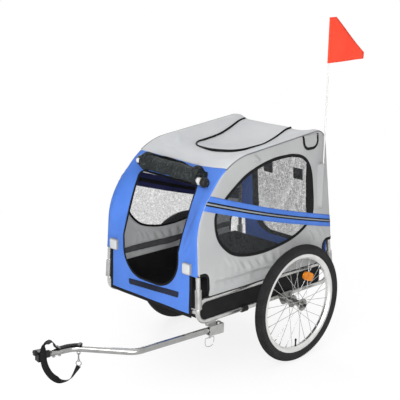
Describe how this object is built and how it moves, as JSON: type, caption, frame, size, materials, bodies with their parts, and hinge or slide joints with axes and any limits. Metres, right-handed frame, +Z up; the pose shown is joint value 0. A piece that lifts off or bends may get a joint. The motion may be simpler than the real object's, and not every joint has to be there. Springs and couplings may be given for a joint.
{
  "type": "dog bike trailer",
  "caption": "Two-wheeled dog trailer for a bicycle: cloth cabin on a tube frame with mesh windows, rolled front screen, spoked wheels, bent tow arm with clamp, and safety flag.",
  "frame": {"origin": "on the ground under the middle of the overall box", "axes": "+X forward along the tow direction, +Y to the left across the axle, +Z up"},
  "size_m": [1.5759, 0.7766, 1.4099],
  "materials": {
    "frame_tube": "satin silver tube",
    "blue_cloth": "woven nylon",
    "side_cloth": "woven polyester",
    "roof_cloth": "woven polyester",
    "fly_net": "fine fly net",
    "black_webbing": "flat webbing",
    "black_board": "stiff coated sheet",
    "black_plastic": "moulded plastic",
    "steel": "zinc-plated steel",
    "rim_alloy": "satin alloy",
    "tyre_rubber": "black rubber",
    "joint_rubber": "black rubber",
    "amber_lens": "moulded prism lens",
    "clear_lens": "moulded prism lens",
    "flag_cloth": "orange nylon",
    "mast_fibre": "white fibreglass rod",
    "white_plastic": "moulded plastic"
  },
  "bodies": {
    "trailer": {"left_side_loop": "frame_tube", "right_side_loop": "frame_tube", "front_cross_tube": "frame_tube", "axle_cross_tube": "frame_tube", "rear_cross_tube": "frame_tube", "infill_panels": "black_board", "floor_panel": "black_board", "arch_sockets": "steel", "socket_buttons": "steel", "left_cabin_arch": "frame_tube", "right_cabin_arch": "frame_tube", "roof_bars": "frame_tube", "left_axle_bracket": "steel", "right_axle_bracket": "steel", "bracket_bolts": "steel", "wheel_axles": "steel", "hub_bearings": "steel", "front_panel": "blue_cloth", "roof_cover": "roof_cloth", "rear_panel": "blue_cloth", "left_side_cover": "side_cloth", "right_side_cover": "side_cloth", "left_window_net": "fly_net", "right_window_net": "fly_net", "rear_window_net": "fly_net", "left_side_band": "blue_cloth", "right_side_band": "blue_cloth", "screen_roll": "blue_cloth", "roll_toggles": "black_plastic", "front_reflectors": "clear_lens", "rail_clips": "black_plastic", "flag_pocket": "black_webbing", "tow_bracket": "steel", "tow_pivot_bolt": "steel"},
    "roof_flap": {"roof_flap": "roof_cloth"},
    "flag_mast": {"flag_mast": "mast_fibre", "flag": "flag_cloth"},
    "left_wheel": {"left_tyre": "tyre_rubber", "left_rim": "rim_alloy", "left_spokes": "steel", "left_hub": "rim_alloy", "left_spoke_reflector": "amber_lens"},
    "right_wheel": {"right_tyre": "tyre_rubber", "right_rim": "rim_alloy", "right_spokes": "steel", "right_hub": "rim_alloy", "right_spoke_reflector": "amber_lens"},
    "left_axle_button": {"left_axle_button": "black_plastic"},
    "right_axle_button": {"right_axle_button": "black_plastic"},
    "tow_arm": {"tow_arm": "frame_tube", "hitch_neck": "steel", "hitch_bolts": "steel", "hitch_joint": "joint_rubber", "clamp_rear_jaw": "black_plastic", "safety_strap": "black_webbing", "strap_buckles": "black_plastic", "strap_hook": "steel"},
    "clamp_jaw": {"clamp_front_jaw": "black_plastic"},
    "clamp_knob": {"clamp_knob": "black_plastic"},
    "lock_pin": {"lock_pin": "steel"}
  },
  "joints": [
    {"name": "left_wheel_spin", "type": "hinge", "parent": "trailer", "child": "left_wheel", "pos_m": [-0.3349, 0.345, 0.25], "axis": [0, 1, 0], "continuous": true},
    {"name": "right_wheel_spin", "type": "hinge", "parent": "trailer", "child": "right_wheel", "pos_m": [-0.3349, -0.345, 0.25], "axis": [0, 1, 0], "continuous": true},
    {"name": "left_axle_press", "type": "slide", "parent": "trailer", "child": "left_axle_button", "axis": [0, -1, 0], "range_m": [0, 0.003], "stiffness_N_per_m": 400},
    {"name": "right_axle_press", "type": "slide", "parent": "trailer", "child": "right_axle_button", "axis": [0, 1, 0], "range_m": [0, 0.003], "stiffness_N_per_m": 400},
    {"name": "tow_arm_swing", "type": "hinge", "parent": "trailer", "child": "tow_arm", "pos_m": [0.0621, 0.276, 0.225], "axis": [0, 0, -1], "range_deg": [0, 70]},
    {"name": "lock_pin_slide", "type": "slide", "parent": "trailer", "child": "lock_pin", "axis": [0, 0, 1], "range_m": [0, 0.01]},
    {"name": "roof_flap_open", "type": "hinge", "parent": "trailer", "child": "roof_flap", "pos_m": [-0.4929, 0, 0.93803], "axis": [0, -1, 0], "range_deg": [0, 150]},
    {"name": "flag_mast_lift", "type": "slide", "parent": "trailer", "child": "flag_mast", "axis": [0, 0, 1], "range_m": [0, 0.15]},
    {"name": "clamp_jaw_slide", "type": "slide", "parent": "tow_arm", "child": "clamp_jaw", "axis": [0.9816, -0.1908, 0], "range_m": [0, 0.012]},
    {"name": "clamp_knob_turn", "type": "hinge", "parent": "clamp_jaw", "child": "clamp_knob", "pos_m": [0.77969, 0.03635, 0.2398], "axis": [-0.9816, 0.1908, 0], "range_deg": [0, 2880]}
  ],
  "couplings": [
    {"joint": "clamp_knob_turn", "follows": "clamp_jaw_slide", "rad_per_m": 4188.8}
  ]
}
